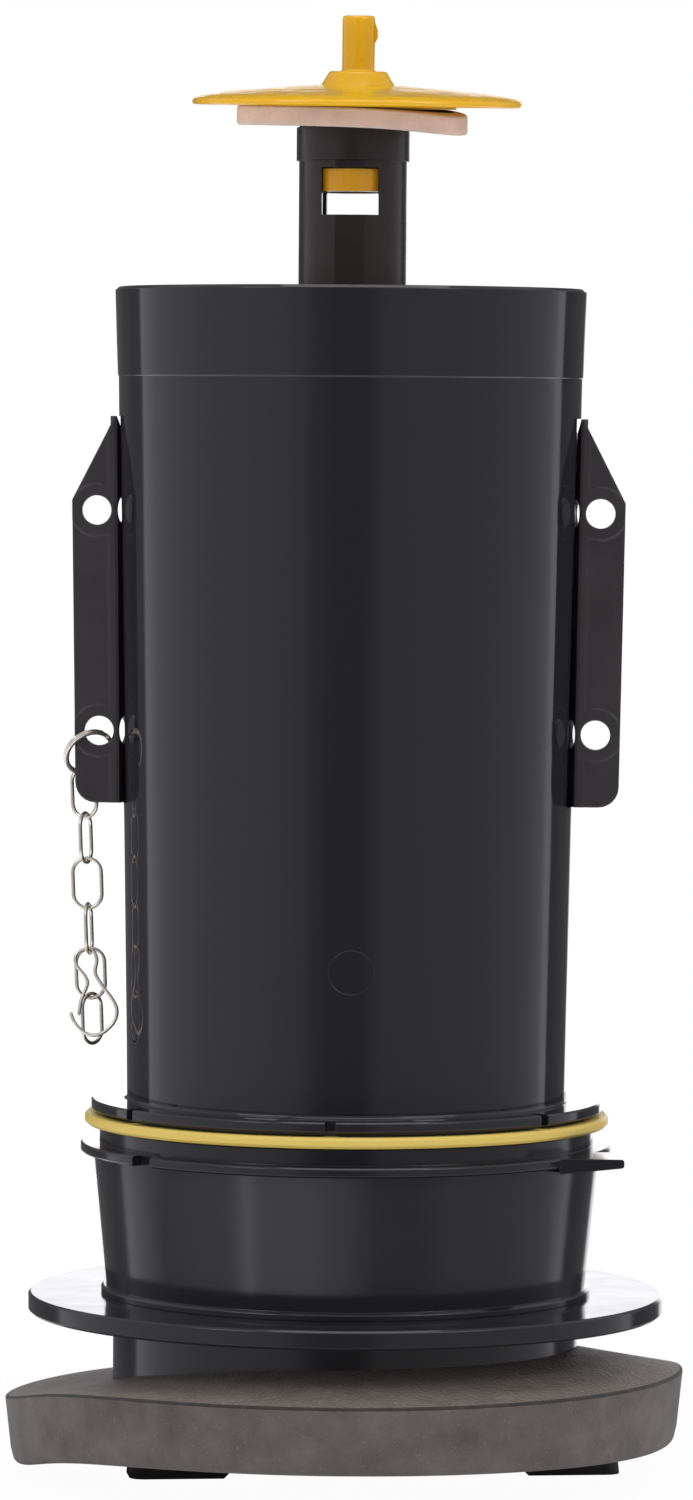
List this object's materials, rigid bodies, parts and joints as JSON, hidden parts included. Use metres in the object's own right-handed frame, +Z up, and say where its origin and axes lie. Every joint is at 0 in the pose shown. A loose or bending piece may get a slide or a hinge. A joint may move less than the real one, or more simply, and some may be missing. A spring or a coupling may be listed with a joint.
{
  "type": "canister flush valve",
  "caption": "Toilet tank flush valve: black canister on a central post, with a ring seal, a flanged seat, a foam gasket, a turn-lock cap and a lift chain with a spring hook.",
  "frame": {"origin": "on the valve axis, in the plane that the feet of the clamp bar stand on", "axes": "+Z up along the post, -Y to the front, +X to the right as seen from the front"},
  "size_m": [0.1175, 0.1174, 0.2538],
  "materials": {
    "black_plastic": "glossy moulded ABS, charcoal black",
    "post_plastic": "satin moulded acetal, black",
    "bar_plastic": "satin glass-filled nylon, black",
    "screw_steel": "plain stainless steel",
    "chain_steel": "drawn stainless wire",
    "seal_rubber": "smooth yellow silicone rubber",
    "gasket_foam": "closed-cell foam rubber, dark warm grey",
    "cap_plastic": "amber yellow moulded acetal, slightly translucent",
    "washer_foam": "soft closed-cell foam, pinkish beige"
  },
  "bodies": {
    "base": {"valve_body": "black_plastic", "tank_flange": "black_plastic", "post_spider": "black_plastic", "seat_ring": "black_plastic", "guide_post": "post_plastic", "clamp_screw": "screw_steel", "screw_washer": "screw_steel", "clamp_bar": "bar_plastic", "clamp_nut": "screw_steel", "tank_gasket": "gasket_foam"},
    "canister": {"canister_shell": "black_plastic", "canister_foot": "black_plastic", "left_ear": "black_plastic", "right_ear": "black_plastic", "guide_tube": "black_plastic", "guide_spider": "black_plastic", "seal_retainer": "black_plastic", "canister_seal": "seal_rubber"},
    "cap": {"cap": "cap_plastic", "cap_washer": "washer_foam"},
    "ring": {"chain_ring": "chain_steel"},
    "link_1": {"chain_link_1": "chain_steel"},
    "link_2": {"chain_link_2": "chain_steel"},
    "link_3": {"chain_link_3": "chain_steel"},
    "link_4": {"chain_link_4": "chain_steel"},
    "link_5": {"chain_link_5": "chain_steel"},
    "link_6": {"chain_link_6": "chain_steel"},
    "hook": {"chain_hook": "chain_steel"}
  },
  "joints": [
    {"name": "canister_lift", "type": "slide", "parent": "base", "child": "canister", "axis": [0, 0, 1], "range_m": [0, 0.027]},
    {"name": "cap_turn", "type": "hinge", "parent": "base", "child": "cap", "pos_m": [0, 0, 0], "axis": [0, 0, 1], "range_deg": [0, 90]},
    {"name": "ring_turn", "type": "hinge", "parent": "canister", "child": "ring", "pos_m": [-0.0449, -0.00545, 0.1259], "axis": [-0.4301, 0.7431, 0.5126], "range_deg": [0, 6]},
    {"name": "link_1_swing", "type": "hinge", "parent": "ring", "child": "link_1", "pos_m": [-0.04598, -0.00359, 0.12229], "axis": [0.8655, 0.5009, 0], "range_deg": [0, 20]},
    {"name": "link_2_swing", "type": "hinge", "parent": "link_1", "child": "link_2", "pos_m": [-0.04568, -0.00359, 0.11449], "axis": [-0.8823, 0.4695, -0.0339], "range_deg": [0, 25]},
    {"name": "link_3_swing", "type": "hinge", "parent": "link_2", "child": "link_3", "pos_m": [-0.04538, -0.00359, 0.1066], "axis": [0.2754, 0.9613, 0.0106], "range_deg": [0, 30]},
    {"name": "link_4_swing", "type": "hinge", "parent": "link_3", "child": "link_4", "pos_m": [-0.04507, -0.00359, 0.09871], "axis": [0.9993, 0, 0.0384], "range_deg": [-25, 25]},
    {"name": "link_5_swing", "type": "hinge", "parent": "link_4", "child": "link_5", "pos_m": [-0.04477, -0.00359, 0.09081], "axis": [0.1045, 0.9945, 0.004], "range_deg": [0, 30]},
    {"name": "link_6_swing", "type": "hinge", "parent": "link_5", "child": "link_6", "pos_m": [-0.04447, -0.00304, 0.08298], "axis": [0.9968, 0.0698, 0.0383], "range_deg": [0, 30]},
    {"name": "hook_swing", "type": "hinge", "parent": "link_4", "child": "hook", "pos_m": [-0.04477, -0.00359, 0.09081], "axis": [0.1045, 0.9945, 0.004], "range_deg": [-4, 30]}
  ]
}
